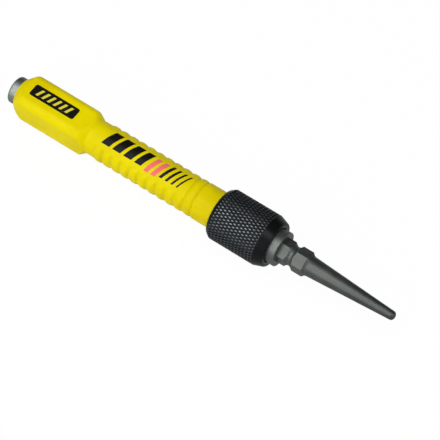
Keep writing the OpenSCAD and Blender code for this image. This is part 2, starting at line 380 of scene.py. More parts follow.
def rounded(corners: Sequence[Corner], arc_step: float = 15.0, room: Pair = (0.98, 0.49)) -> list[Point]:
    """Rounds the corners of an open profile.

    Args:
        corners: Station, radius and rounding of each corner, in millimetres.
        arc_step: Largest turn between two points of a rounding, in degrees.
        room: Largest share of a side that a rounding takes, where the side's other corner has none and
            where it has one.

    Returns:
        The points of the rounded profile.
    """
    points: list[Point] = [corners[0][:2]]
    for before, corner, after in zip(corners, corners[1:], corners[2:]):
        here = Vector(corner[:2])
        back, ahead = Vector(before[:2]) - here, Vector(after[:2]) - here
        turn = math.pi - back.angle(ahead)
        if corner[2] == 0 or turn < math.radians(1):
            points.append(corner[:2])
            continue
        sides = (back, before), (ahead, after)
        most = min(side.length * room[other[2] > 0] for side, other in sides)
        reach = min(corner[2] * math.tan(turn / 2), most)
        bisector = (back.normalized() + ahead.normalized()).normalized()
        centre = here + bisector * (reach / math.sin(turn / 2))
        first, last = (here + side.normalized() * reach - centre for side in (back, ahead))
        steps = max(2, math.ceil(math.degrees(turn) / arc_step))
        for step in range(steps + 1):
            share = turn * step / steps
            spoke = (first * math.sin(turn - share) + last * math.sin(share)) / math.sin(turn)
            points.append(tuple(centre + spoke))
    points.append(corners[-1][:2])
    return held(points)


def divided(points: Sequence[Point], rule: Callable[[float], Sequence[float]]) -> list[Point]:
    """Divides every stretch of a profile.

    Args:
        points: The profile.
        rule: Gives the shares of a stretch at which its points are, the last of them one, from its length.

    Returns:
        The profile with the added points.
    """
    result = [points[0]]
    for (x0, r0), (x1, r1) in zip(points, points[1:]):
        shares = rule(math.dist((x0, r0), (x1, r1)))
        result += [(x0 + (x1 - x0) * share, r0 + (r1 - r0) * share) for share in shares]
    return result


def held(points: Sequence[Point], near: float = 0.12, long: float = 0.6) -> list[Point]:
    """Adds a point near each end of every long stretch, so that smooth shading stays even between them."""
    return divided(points, lambda size: (near / size, 1 - near / size, 1.0) if size > long else (1.0,))


def filled(points: Sequence[Point], step: float) -> list[Point]:
    """Adds points along a profile, so that no two are further apart than a step in millimetres."""
    return divided(points, lambda size: [*inner_shares(math.ceil(size / step) - 1), 1.0])


def inner_shares(count: int) -> list[float]:
    """So many evenly spaced shares between zero and one."""
    return [k / (count + 1) for k in range(1, count + 1)]


def sizes_of(form: Any, *names: str) -> dict[str, float]:
    """Some of a sub-assembly's sizes, by name."""
    return {name: float(getattr(form, name)) for name in names}


def new_piece(
    name: str, vertices: Sequence[Sequence[float]], faces: Sequence[Sequence[int]]
) -> bpy.types.Object:
    """Makes an object at the origin from vertices in metres.

    Args:
        name: The piece's name.
        vertices: Place of each vertex.
        faces: Vertices of each face.

    Returns:
        The object, linked to the scene.
    """
    mesh = bpy.data.meshes.new(name)
    mesh.from_pydata(vertices, [], faces)
    piece = bpy.data.objects.new(name, mesh)
    bpy.context.scene.collection.objects.link(piece)
    return piece


def turned(
    name: str,
    sections: Sequence[Section],
    around: int,
    turn: float = 0.0,
    edge: float = 0.12,
    split: Callable[[int, int], Split] = lambda ring, column: Split.NONE,
) -> bpy.types.Object:
    """Turns a profile about the tool's axis into a closed mesh.

    The profile runs forwards along the outside and back along the inside. It starts and ends on the axis, or
    closes on itself.

    Args:
        name: The piece's name.
        sections: The stretches of the profile.
        around: Number of points in each ring.
        turn: Angle of a hexagon's flat from the upper flat, towards the far side, in degrees.
        edge: How far a hexagon's long edges are eased, in millimetres.
        split: How the face after a ring and a column is divided.

    Returns:
        The object.
    """
    angles = turn + HEX_HALF + np.arange(around) * 360 / around
    directions = np.stack([np.sin(np.radians(angles)), np.cos(np.radians(angles))], axis=1)
    vertices: list[Sequence[float]] = []
    rings: list[range] = []
    ruled: list[float] = []
    for section in sections:
        for station, radius in section.points:
            first = len(vertices)
            if radius <= 0:
                vertices.append((station * MM, 0.0, 0.0))
            else:
                radii = section.radii(radius, angles, turn, edge)
                vertices += [(station * MM, y, z) for y, z in (directions * radii[:, None] * MM).tolist()]
            rings.append(range(first, len(vertices)))
            ruled += [float(section.ruled)] * (len(vertices) - first)
    if len(rings[0]) > 1:
        rings.append(rings[0])
    faces: list[Sequence[int]] = []
    for row, (near, far) in enumerate(zip(rings, rings[1:])):
        for k in range(around):
            n = (k + 1) % around
            if len(near) == 1:
                faces.append((near[0], far[k], far[n]))
            elif len(far) == 1:
                faces.append((near[k], far[0], near[n]))
            else:
                corners = near[k], far[k], far[n], near[n]
                faces += [[corners[i] for i in face] for face in split(row, k).value]
    piece = new_piece(name, vertices, faces)
    piece.data.attributes.new(RULED, "FLOAT", "POINT").data.foreach_set("value", ruled)
    return piece


def shade(piece: bpy.types.Object, sharp: float = 40.0) -> None:
    """Shades a piece smoothly, with its edges sharp above an angle in degrees."""
    piece.data.polygons.foreach_set("use_smooth", [True] * len(piece.data.polygons))
    piece.data.set_sharp_from_angle(angle=math.radians(sharp))


def finished(piece: bpy.types.Object, body: Body, slot: Slot, *nodes: str) -> None:
    """Hands a finished piece to the frame.

    Args:
        piece: The piece, with its finish.
        body: The body that it rides on.
        slot: The record's slot of its finish. It is not used.
        nodes: The CAD nodes that it stands for.
    """
    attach(piece, body.value)
    if nodes:
        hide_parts(*nodes)
    LOG.info("%s: %d faces, rides on %s", piece.name, len(piece.data.polygons), body.value)


# Finishes


@dataclass(frozen=True)
class Finish(ABC):
    """What every finish has.

    A noise is given by its waves to the metre and its detail, a band by the two values between which it
    rises, and a bump by its depth in millimetres and its strength. What is called a sway is how far a noise
    moves the roughness.
    """

    name: str

    @abstractmethod
    def inputs(self, nodes: Nodes) -> Inputs:
        """The value or the link of each input of the finish's Principled shader."""

    def surface(self, nodes: Nodes) -> Socket:
        """The finish's shader."""
        return nodes.node("ShaderNodeBsdfPrincipled", None, self.inputs(nodes))

    def material(self) -> bpy.types.Material:
        """Makes the material.

        Returns:
            The material.
        """
        material = bpy.data.materials.new(self.name)
        material.use_nodes = True
        material.node_tree.nodes.clear()
        nodes = Nodes(material.node_tree)
        nodes.node("ShaderNodeOutputMaterial", None, {"Surface": self.surface(nodes)})
        return material


@dataclass(frozen=True)
class MouldedPlastic(Finish):
    """Semi-gloss moulded plastic with a fine grain, and painted shade in the valleys between the ribs."""

    name: str = "yellow_moulded_plastic"
    colour: Colour = (0.775, 0.65, 0.0)
    deep: Colour = (0.7, 0.57, 0.0)
    # painted shade: the colour that the valleys between the ribs darken towards, and how far
    valley: Colour = (0.5, 0.39, 0.0)
    valley_share: float = 0.3
    cloud: Pair = (55.0, 3.0)
    cloud_band: Pair = (0.3, 0.7)
    flow: Pair = (380.0, 2.0)
    flow_band: Pair = (0.45, 0.75)
    flow_share: float = 0.25
    flow_sway: float = 0.14
    grain: Pair = (2600.0, 3.0)
    grain_sway: float = 0.08
    roughness: float = 0.36
    specular: float = 0.05
    bump: Pair = (0.03, 0.35)

    def inputs(self, nodes: Nodes) -> Inputs:
        """The inputs of the plastic's shader.

        Args:
            nodes: The maker of the material's nodes.

        Returns:
            The value or the link of each input.
        """
        cloud, flow, grain = nodes.noises(self.cloud, self.flow, self.grain)
        tone = nodes.blend(nodes.between(cloud, *self.cloud_band), self.deep, self.colour)
        tone = nodes.blend(nodes.between(flow, *self.flow_band) * self.flow_share, tone, self.deep)
        valley = nodes.node("ShaderNodeAttribute", {"attribute_name": VALLEY}, output="Fac")
        rough = self.roughness + nodes.sway(flow, self.flow_sway)
        return {
            # painted shade: the base colour darkens in the valleys between the ribs
            "Base Color": nodes.blend(valley * self.valley_share, tone, self.valley),
            "Roughness": rough + nodes.sway(grain, self.grain_sway),
            "Specular IOR Level": self.specular,
            "Normal": nodes.bumped(grain + flow, *self.bump),
        }


@dataclass(frozen=True)
class TurnedSteel(Finish):
    """Turned steel: fine rings about the axis, a cloudy tone and scattered rubbed marks.

    Each darker stretch is given by the two stations between which the steel darkens, and by how much.
    """

    name: str
    dark: Colour
    light: Colour
    roughness: float
    rings_per_metre: float = 5200.0
    ring_depth: float = 0.004
    metal: float = 1.0
    darker_stretches: tuple[tuple[float, float, float], ...] = ()
    ring_detail: float = 3.0
    ring_sway: float = 0.15
    cloud: Pair = (160.0, 4.0)
    cloud_share: float = 0.6
    cloud_sway: float = 0.2
    tone_band: Pair = (0.38, 0.62)
    specks: Pair = (1700.0, 3.0)
    speck_band: Pair = (0.62, 0.78)
    speck_share: float = 0.5
    bump_strength: float = 0.6

    def inputs(self, nodes: Nodes) -> Inputs:
        """The inputs of the steel's shader.

        Args:
            nodes: The maker of the material's nodes.

        Returns:
            The value or the link of each input.
        """
        x, _, _, radius = nodes.round_axis(nodes.object_place())
        along = nodes.node("ShaderNodeCombineXYZ", None, {0: x + radius})
        rings = nodes.noise(along, self.rings_per_metre, self.ring_detail)
        cloud, specks = nodes.noises(self.cloud, self.specks)
        mixed = cloud * self.cloud_share + rings * (1 - self.cloud_share)
        tone = nodes.blend(nodes.between(mixed, *self.tone_band), self.dark, self.light)
        tone = nodes.blend(nodes.between(specks, *self.speck_band) * self.speck_share, tone, self.light)
        for start, end, share in self.darker_stretches:
            tone = nodes.blend(nodes.between(x / MM, start, end) * share, tone, BLACK)
        rough = self.roughness + nodes.sway(cloud, self.cloud_sway)
        return {
            "Base Color": tone,
            "Metallic": self.metal,
            "Roughness": rough + nodes.sway(rings, self.ring_sway),
            "Normal": nodes.bumped(rings + self.speck_share * specks, self.ring_depth, self.bump_strength),
        }


@dataclass(frozen=True)
class BlackOxide(Finish):
    """Black oxide on steel, rubbed bright at the tips of the knurl and on the rim of the mouth."""

    name: str = "black_oxide_steel"
    black: Colour = (0.004, 0.0045, 0.005)
    rubbed: Colour = (0.148, 0.173, 0.187)
    bare: Colour = (0.2, 0.187, 0.16)
    roughness: float = 0.3
    rubbed_roughness: float = 0.26
    specular: float = 0.14
    tip_radius: float = 10.346
    rub_depth: float = 0.08
    rub_ragged: float = 0.008
    least_rub: float = 0.6
    mouth: Pair = (119.34, 119.54)
    mouth_rim: float = 7.62
    cloud: Pair = (240.0, 3.0)
    cloud_band: Pair = (0.3, 0.65)
    cloud_sway: float = 0.18
    specks: Pair = (2400.0, 2.0)
    bump: Pair = (0.01, 0.5)

    def inputs(self, nodes: Nodes) -> Inputs:
        """The inputs of the oxide's shader.

        Args:
            nodes: The maker of the material's nodes.

        Returns:
            The value or the link of each input.
        """
        x, _, _, off_axis = nodes.round_axis(nodes.object_place())
        radius = off_axis / MM
        cloud, specks = nodes.noises(self.cloud, self.specks)
        height = radius + nodes.sway(specks, self.rub_ragged)
        tips = nodes.between(height, self.tip_radius - self.rub_depth, self.tip_radius)
        rub = tips * (self.least_rub + (1 - self.least_rub) * nodes.between(cloud, *self.cloud_band))
        rim = nodes.between(x / MM, *self.mouth) * (radius < self.mouth_rim)
        rough = self.roughness + (self.rubbed_roughness - self.roughness) * rub
        return {
            "Base Color": nodes.blend(rim, nodes.blend(rub, self.black, self.rubbed), self.bare),
            "Metallic": nodes.math("MAXIMUM", rub, rim),
            "Roughness": rough + nodes.sway(cloud, self.cloud_sway),
            "Specular IOR Level": self.specular,
            "Normal": nodes.bumped(specks, *self.bump),
        }


@dataclass(frozen=True)
class Ink(Finish):
    """Printed ink, a little thin in places, so that the plastic shows through."""

    name: str
    colour: Colour = (0.006, 0.006, 0.006)
    under: Colour = (0.6, 0.5, 0.01)
    roughness: float = 0.34
    specular: float = 0.1
    thin: float = 0.12
    cloud: Pair = (900.0, 4.0)
    hole_band: Pair = (0.66, 0.76)
    grain: Pair = (2600.0, 3.0)
    grain_sway: float = 0.1
    bump: Pair = (0.02, 0.3)

    def inputs(self, nodes: Nodes) -> Inputs:
        """The inputs of the ink's shader.

        Args:
            nodes: The maker of the material's nodes.

        Returns:
            The value or the link of each input.
        """
        cloud, grain = nodes.noises(self.cloud, self.grain)
        holes = nodes.between(cloud, *self.hole_band) * self.thin
        return {
            "Base Color": nodes.blend(holes, self.colour, self.under),
            "Roughness": self.roughness + nodes.sway(grain, self.grain_sway),
            "Specular IOR Level": self.specular,
            "Normal": nodes.bumped(grain, *self.bump),
        }


@dataclass(frozen=True)
class StudioFloor(Finish):
    """A floor that keeps a soft shadow, looks white to the camera and pale in reflections."""

    name: str = "studio_floor"
    colour: Colour = (0.86, 0.86, 0.86)
    seen: float = 0.97
    mirrored: float = 0.9
    mirrored_tone: float = 0.49
    grain: Pair = (300.0, 2.0)
    roughness: float = 0.9
    grain_reach: float = 0.05

    def inputs(self, nodes: Nodes) -> Inputs:
        """The inputs of the floor's own shader."""
        (grain,) = nodes.noises(self.grain)
        return {"Base Color": self.colour, "Roughness": self.roughness + self.grain_reach * grain}

    def surface(self, nodes: Nodes) -> Socket:
        """The floor's shader, under the tones that the camera and reflections are shown.

        Args:
            nodes: The maker of the material's nodes.

        Returns:
            The shader.
        """
        camera, sent_on = nodes.rays()
        shader = super().surface(nodes)
        for strength, share in ((self.mirrored_tone, sent_on * self.mirrored), (1.0, camera * self.seen)):
            glow = nodes.node("ShaderNodeEmission", None, {"Color": WHITE, "Strength": strength})
            shader = nodes.node("ShaderNodeMixShader", None, {0: share, 1: shader, 2: glow})
        return shader


# The tool's own pieces


@dataclass(frozen=True)
class Handle:
    """The moulded handle: a square head, a shoulder, a ribbed grip and a plain ring under the collar.

    The ribs go round the grip but for the smooth panel along its top.
    """

    finish: Finish
    rear: float = 3.3
    head_rear_len: float = 3.9
    neck: float = 37.3
    shoulder_len: float = 2.8
    ribs: float = 41.4
    panel_end: float = 82.0
    front_ring: float = 86.06
    front_ring_rise: float = 0.35
    front: float = 95.56
    nose_start: float = 91.36
    bore_lip: float = 0.3
    rear_r: float = 5.85
    head_r: float = 9.512
    head_w: float = 15.0
    edge_r: float = 3.0
    edge_easing: float = 1.5
    neck_r: float = 6.956
    front_ring_r: float = 7.446
    nose_r: float = 6.848
    shaft_r: float = 5.1
    strike_r: float = 5.4
    end_round: float = 0.15
    head_rear_round: float = 2.4
    shoulder_round: float = 1.6
    neck_round: float = 0.6
    front_ring_round: float = 0.2
    rib_pitch: float = 4.06
    rib_height: float = 0.46
    rib_easing: float = 0.12
    rib_rings: int = 18
    valley_w: float = 0.5
    valley_share: float = 0.85
    panel_half_angle: float = 41.0
    panel_fade: float = 19.0
    rib_reach: float = 2.0
    arc_step: float = 10.0
    ring_step: float = 0.6
    around: int = 240
    sharp: float = 50.0
    head_sizes: tuple[str, ...] = ("head_w", "edge_r", "edge_easing")
    rib_sizes: tuple[str, ...] = ("ribs", "front_ring", "rib_pitch", "rib_height", "valley_w")
    panel_sizes: tuple[str, ...] = ("panel_end", "panel_half_angle", "panel_fade", "rib_reach")

    def profile(self) -> list[Section]:
        """The turned outline of the handle and the bore that the shaft fills.

        Returns:
            The outline, which the handle's rule shapes, and the bore.
        """
        outside = rounded(
            [
                (self.rear, self.strike_r, 0),
                (self.rear, self.rear_r, self.end_round),
                (self.rear + self.head_rear_len, self.head_r, self.head_rear_round),
                (self.neck - self.shoulder_len, self.head_r, self.shoulder_round),
                (self.neck, self.neck_r, self.neck_round),
                (self.front_ring, self.neck_r, self.front_ring_round),
                (self.front_ring + self.front_ring_rise, self.front_ring_r, self.front_ring_round),
                (self.front, self.front_ring_r, self.end_round),
                (self.front, self.nose_r, 0),
            ],
            self.arc_step,
        )
        split = next(k for k, point in enumerate(outside) if point[0] > self.ribs)
        rear, front = (filled(points, self.ring_step) for points in (outside[:split], outside[split:]))
        reach = front[0][0] - self.ribs
        count = round(reach / self.rib_pitch) * self.rib_rings
        ribs = [(self.ribs + k * reach / count, self.neck_r) for k in range(count)]
        inside = [
            (self.nose_start, self.nose_r),
            (self.nose_start, self.shaft_r),
            (self.rear + self.bore_lip, self.shaft_r),
        ]
        return [Section(rear + ribs + front, ruled=True), Section(inside)]

    def rule(self, tree: FormTree, station: Socket, angle: Socket, radius: Socket) -> tuple[Socket, Socket]:
        """The handle's radius at a place, and how much of a valley between two ribs it is.

        Args:
            tree: The tree that the sums are made in.
            station: Station along the axis.
            angle: Angle from the upper flat, in radians.
            radius: Radius of the turned outline.

        Returns:
            The turned outline cut by the rounded square, with the ribs on it, and one at a valley's foot.
        """
        width, edge, easing = tree.pick(*self.head_sizes)
        first, end, pitch, height, valley = tree.pick(*self.rib_sizes)
        panel_end, panel, fade, reach = tree.pick(*self.panel_sizes)

        # The rounded square, by the angle from the middle of the nearest flat
        half = width / 2
        fold = tree.math("PINGPONG", angle, math.pi / 4)
        cosine, sine = tree.math("COSINE", fold), tree.math("SINE", fold)
        corner = half - edge
        across = corner * (cosine - sine)
        bend = tree.math("SQRT", tree.math("MAXIMUM", edge * edge - across * across, 0.0))
        arc = corner * (cosine + sine) + bend
        flat = half / cosine
        square = flat + (half * sine / cosine > corner) * (arc - flat)
        body = tree.math("SMOOTH_MIN", square, radius, easing)

        # The ribs, each an arc of a circle along the axis, which run out beside the smooth panel
        half_rib = (pitch - valley) / 2
        bead = (half_rib * half_rib + height * height) / (2 * height)
        off = (tree.math("FRACT", (station - first) / pitch) - 0.5) * pitch
        rise = tree.math("SQRT", tree.math("MAXIMUM", bead * bead - off * off, 0.0)) - bead + height
        lift = tree.math("SMOOTH_MAX", rise, 0.0, self.rib_easing)
        turn = tree.math("ABSOLUTE", angle) * (180 / math.pi) + reach * lift / height
        side = tree.between(turn, panel, panel + fade)
        ribbed = (station > first) * (station < end) * tree.math("MAXIMUM", side, station > panel_end)
        # The second value marks the valleys between the ribs, where the plastic's painted shade goes
        low = tree.between(height - lift, height * (1 - self.valley_share), height)
        return body + lift * ribbed, ribbed * low

    def build(self) -> None:
        """Builds the handle and hands it to the frame."""
        piece = turned("handle_grip", self.profile(), self.around)
        sizes = sizes_of(self, *self.head_sizes, *self.rib_sizes, *self.panel_sizes)
        tree = FormTree("handle_form", sizes)
        tree.bake(piece, tree.ruled_radius(partial(self.rule, tree)), self.finish.material())
        shade(piece, self.sharp)
        finished(piece, Body.HANDLE, Slot.PLASTIC, "handle")


@dataclass(frozen=True)
class StrikingShaft:
    """The steel shaft: the striking end, the bar inside the handle and the chuck nose with its hex socket."""

    finish: Finish
    strike_len: float = 3.3
    strike_r: float = 5.4
    strike_round: float = 0.8
    shaft_r: float = 5.08
    nose_start: float = 91.36
    nose: float = 118.66
    nose_r: float = 6.848
    nose_chamfer: float = 0.4
    nose_round: float = 0.1
    lip_round: float = 0.05
    clip_groove: Pair = (112.35, 115.41)
    clip_foot: float = 6.278
    ring_groove: Pair = (115.93, 116.97)
    ring_foot: float = 6.148
    socket_flats: float = 8.9
    socket_rings: tuple[float, ...] = (0.0, 0.15, 4.0, 8.0)
    socket_foot: float = 106.08
    mouth_wall: float = 0.3
    bore_r: float = 4.1
    bore_foot: float = 68.38
    hex_turn: float = -34.0
    around: int = 144

    def build(self) -> None:
        """Builds the shaft and hands it to the frame."""
        corner_r = corner_radius(self.socket_flats)
        outside = rounded(
            [
                (0, 0, 0),
                (0, self.strike_r, self.strike_round),
                (self.strike_len, self.strike_r, self.lip_round),
                (self.strike_len, self.shaft_r, 0),
                (self.nose_start, self.shaft_r, 0),
                (self.nose_start, self.nose_r, 0),
                *self.groove(self.clip_groove, self.clip_foot),
                *self.groove(self.ring_groove, self.ring_foot),
                (self.nose - self.nose_chamfer, self.nose_r, self.nose_round),
                (self.nose, self.nose_r - self.nose_chamfer, self.nose_round),
                (self.nose, corner_r + self.mouth_wall, 0),
            ]
        )
        stations = [self.nose - depth for depth in self.socket_rings] + [self.socket_foot]
        socket = Section([(station, corner_r) for station in stations], flats=self.socket_flats)
        bore = [(self.socket_foot, self.bore_r), (self.bore_foot, self.bore_r), (self.bore_foot, 0)]
        sections = [Section(outside), socket, Section(bore)]
        piece = turned("striking_shaft_steel", sections, self.around, self.hex_turn)
        piece.data.materials.append(self.finish.material())
        shade(piece)
        finished(piece, Body.HANDLE, Slot.SHAFT, "striking_shaft")

    def groove(self, walls: Pair, foot: float) -> list[Corner]:
        """The corners of a groove in the nose.

        Args:
            walls: Stations of its rear and front wall.
            foot: Radius of its foot.

        Returns:
            Station, radius and rounding of each corner.
        """
        rear, front = walls
        lips = (rear, self.nose_r, self.lip_round), (front, self.nose_r, self.lip_round)
        return [lips[0], (rear, foot, 0), (front, foot, 0), lips[1]]


@dataclass(frozen=True)
class Collar:
    """The knurled collar that is drawn back to free the bit."""

    finish: Finish
    rear: float = 94.76
    front: float = 119.56
    radius: float = 10.346
    rear_chamfer: float = 1.15
    rear_run: float = 1.7
    rear_round: float = 0.5
    cone_len: float = 4.0
    cone_drop: float = 1.4
    front_round: float = 0.75
    chamber_r: float = 7.848
    chamber_start: float = 0.4
    guide_r: float = 6.908
    guide: Pair = (111.71, 115.91)
    mouth_r: float = 7.348
    mouth_chamfer: float = 0.15
    mouth_round: float = 0.05
    diamonds: int = 50
    rows: int = 13
    cells: int = 4
    knurl_depth: float = 0.17
    crown_gain: float = 1.4
    crown_easing: float = 0.3
    run_in_rings: int = 2
    run_out_rings: int = 4
    sharp: float = 24.0
    knurl_sizes: tuple[str, ...] = ("diamonds", "radius", "knurl_depth")

    def build(self) -> None:
        """Builds the collar and hands it to the frame."""
        start = self.rear + self.rear_run
        length = self.front - self.cone_len - start
        step = length / (self.rows * self.cells)
        rise, fall = self.rear_chamfer / self.rear_run, self.cone_drop / self.cone_len
        last = self.rows * self.cells + self.run_out_rings
        band = [
            (start + x, self.radius + rise * min(0, x) - fall * max(0, x - length))
            for x in (k * step for k in range(-self.run_in_rings, last + 1))
        ]
        rear = rounded(
            [
                (self.rear, self.chamber_r, 0),
                (self.rear, self.radius - self.rear_chamfer, self.rear_round),
                (*band[0], 0),
            ]
        )[:-1]
        front = rounded(
            [
                (*band[-1], 0),
                (self.front, self.radius - self.cone_drop, self.front_round),
                (self.front, self.mouth_r + self.mouth_chamfer, self.mouth_round),
                (self.front - self.mouth_chamfer, self.mouth_r, self.mouth_round),
                (self.guide[1], self.mouth_r, 0),
                (self.guide[1], self.guide_r, 0),
                (self.guide[0], self.guide_r, 0),
                (self.guide[0], self.chamber_r, 0),
                (self.rear + self.chamber_start, self.chamber_r, 0),
            ]
        )[1:]
        sections = [Section(rear), Section(band, ruled=True), Section(front)]
        around = self.diamonds * 2 * self.cells
        split = partial(self.split, len(rear) + self.run_in_rings)
        piece = turned("collar_knurled", sections, around, -HEX_HALF, split=split)
        sizes = {"start": start, "half_diamond": step * self.cells, **sizes_of(self, *self.knurl_sizes)}
        tree = FormTree("knurl_form", sizes)
        tree.bake(piece, tree.ruled_radius(partial(self.rule, tree)), self.finish.material())
        shade(piece, self.sharp)
        finished(piece, Body.COLLAR, Slot.BLACK, "collar")

    def split(self, first: int, ring: int, column: int) -> Split:
        """Divides the faces that a groove of the knurl crosses along the groove.

        Args:
            first: The ring at which the knurl starts.
            ring: The ring before the face.
            column: The face's column.

        Returns:
            How the face is divided.
        """
        row = ring - first
        if not -self.run_in_rings <= row < self.rows * self.cells + self.run_out_rings:
            return Split.NONE
        if (column - row) % (2 * self.cells) == 0:
            return Split.RISING
        return Split.FALLING if (column + row + 1) % (2 * self.cells) == 0 else Split.NONE

    def rule(self, tree: FormTree, station: Socket, angle: Socket, radius: Socket) -> tuple[Socket]:
        """The collar's radius at a place: the knurl's diamonds, cut by the turned outline.

        Args:
            tree: The tree that the sums are made in.
            station: Station along the axis.
            angle: Angle from the upper flat, in radians.
            radius: Radius of the turned outline.

        Returns:
            The smaller of the knurl and the outline.
        """
        start, half_diamond, diamonds, outer, depth = tree.pick("start", "half_diamond", *self.knurl_sizes)
        # How far the nearest groove is, from zero in it to one in the middle of a diamond
        across = angle * diamonds / math.pi
        along = (station - start) / half_diamond
        waves = (tree.math("PINGPONG", wave, 1.0) for wave in (along + across, along - across))
        near = tree.math("MINIMUM", *waves)
        crown = tree.math("SMOOTH_MIN", near * self.crown_gain, 1.0, self.crown_easing)
        return (tree.math("MINIMUM", radius, outer - depth * (1 - crown)),)


@dataclass(frozen=True)
class Spring:
    """The spring that holds the collar forward."""

    finish: Finish
    start: float = 96.23
    end: float = 111.15
    middle_r: float = 7.348
    wire_d: float = 0.6
    turns: float = 6.0
    turn_points: int = 48
    wire_points: int = 12
    anchor: float = 96.2
    keep: float = 0.766

    def build(self) -> None:
        """Builds the spring and hands it to the frame."""
        piece = new_piece("collar_spring_wire", [(self.start * MM, 0, 0)], [])
        sizes = {
            "turns": self.turns,
            "radius": self.middle_r * MM,
            "length": (self.end - self.start - self.wire_d) * MM,
            "start": (self.start + self.wire_d / 2) * MM,
            "wire_radius": self.wire_d / 2 * MM,
        }
        tree = FormTree("spring_form", sizes)
        turns, radius, length, start, wire_radius = tree.pick(*sizes)
        spiral = {"Resolution": self.turn_points, "Rotations": turns, "Height": length}
        spiral |= {"Start Radius": radius, "End Radius": radius}
        coil = tree.node("GeometryNodeCurveSpiral", None, spiral)
        place = tree.node("ShaderNodeCombineXYZ", None, {0: start})
        turned_over = {"Geometry": coil, "Translation": place, "Rotation": (0.0, math.pi / 2, 0.0)}
        laid = tree.node("GeometryNodeTransform", None, turned_over)
        outline = {"Resolution": self.wire_points, "Radius": wire_radius}
        wire = tree.node("GeometryNodeCurvePrimitiveCircle", None, outline)
        swept = {"Curve": laid, "Profile Curve": wire, "Fill Caps": True}
        tree.bake(piece, tree.node("GeometryNodeCurveToMesh", None, swept), self.finish.material())
        shade(piece)
        finished(piece, Body.HANDLE, Slot.SPRING, "collar_spring")
        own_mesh(piece)


@dataclass(frozen=True)
class Bit:
    """The reversible bit: a flange between two hexagonal shanks, each with a waist, a taper and a tip.

    Stations on a half are distances from the flange.
    """

    finish: Finish
    flange: float = 118.68
    flange_t: float = 4.0
    flange_r: float = 6.946
    flange_round: float = 0.2
    flange_wall: float = 0.3
    flats: float = 8.7
    flat_edge: float = 0.16
    hex_turn: float = -34.0
    hex_end: float = 10.8
    half_len: float = 48.6
    waist_at: float = 4.8
    waist_r: float = 3.9
    waist_arc_r: float = 1.7
    waist_rings: int = 19
    waist_sides: Pair = (2.0, 9.0)
    run_out: float = 2.0
    run_out_bend: float = 2.4
    run_out_rings: int = 9
    taper_r: float = 3.85
    taper_step: float = 3.0
    tip_r: float = 1.7
    stored_tip_r: float = 0.8
    tip_round_share: float = 0.8
    cup_share: float = 0.2
    cup_rings: int = 5
    around: int = 216

    def half(self, end_r: float) -> list[Section]:
        """The profile of one half, from the flange to its tip.

        Args:
            end_r: Radius of the tip.

        Returns:
            The hexagonal shank, its run-out and the taper, by distance from the flange.
        """
        corner_r = corner_radius(self.flats)
        centre_r = self.waist_r + self.waist_arc_r
        reach = math.sqrt(self.waist_arc_r**2 - (centre_r - corner_r) ** 2)
        waist = [
            (self.waist_at + off, centre_r - math.sqrt(self.waist_arc_r**2 - off**2))
            for off in np.linspace(-reach, reach, self.waist_rings).tolist()
        ]
        rear, front = self.waist_sides
        shank = [(0, corner_r), (rear, corner_r), *waist, (front, corner_r), (self.hex_end, corner_r)]
        drop = corner_r - self.taper_r
        run_out = [
            (self.hex_end + self.run_out * share, self.taper_r + drop * (1 - share) ** self.run_out_bend)
            for share in inner_shares(self.run_out_rings)
        ]
        cup = self.cup_share * end_r
        taper = rounded(
            [
                (self.hex_end + self.run_out, self.taper_r, 0),
                (self.half_len, end_r, self.tip_round_share * end_r),
                (self.half_len, cup, 0),
            ]
        )
        turns = (share * math.pi / 2 for share in inner_shares(self.cup_rings))
        taper += [(self.half_len - cup * math.sin(turn), cup * math.cos(turn)) for turn in turns]
        return [
            Section(held(shank), flats=self.flats),
            Section(run_out, flats=self.flats, core=self.taper_r),
            Section(filled(taper, self.taper_step) + [(self.half_len - cup, 0)]),
        ]

    def build(self) -> None:
        """Builds the bit and hands it to the frame."""
        front = self.flange + self.flange_t
        wall = self.flange_r - self.flange_round - self.flange_wall
        disc = rounded(
            [
                (self.flange, wall, 0),
                (self.flange, self.flange_r, self.flange_round),
                (front, self.flange_r, self.flange_round),
                (front, wall, 0),
            ]
        )
        stored = [
            replace(section, points=[(self.flange - x, r) for x, r in reversed(section.points)])
            for section in reversed(self.half(self.stored_tip_r))
        ]
        working = [
            replace(section, points=[(front + x, r) for x, r in section.points])
            for section in self.half(self.tip_r)
        ]
        sections = [*stored, Section(disc), *working]
        piece = turned("reversible_bit", sections, self.around, self.hex_turn, self.flat_edge)
        piece.data.materials.append(self.finish.material())
        shade(piece)
        finished(piece, Body.BIT, Slot.BIT, "bit")


@dataclass(frozen=True)
class Bar:
    """A slanted printed bar on the grip's smooth panel, by station and angle from the upper flat."""

    start: float
    width: float
    angles: Pair = (-31.0, 25.0)
    slant: float = 2.6
    steps: int = 16


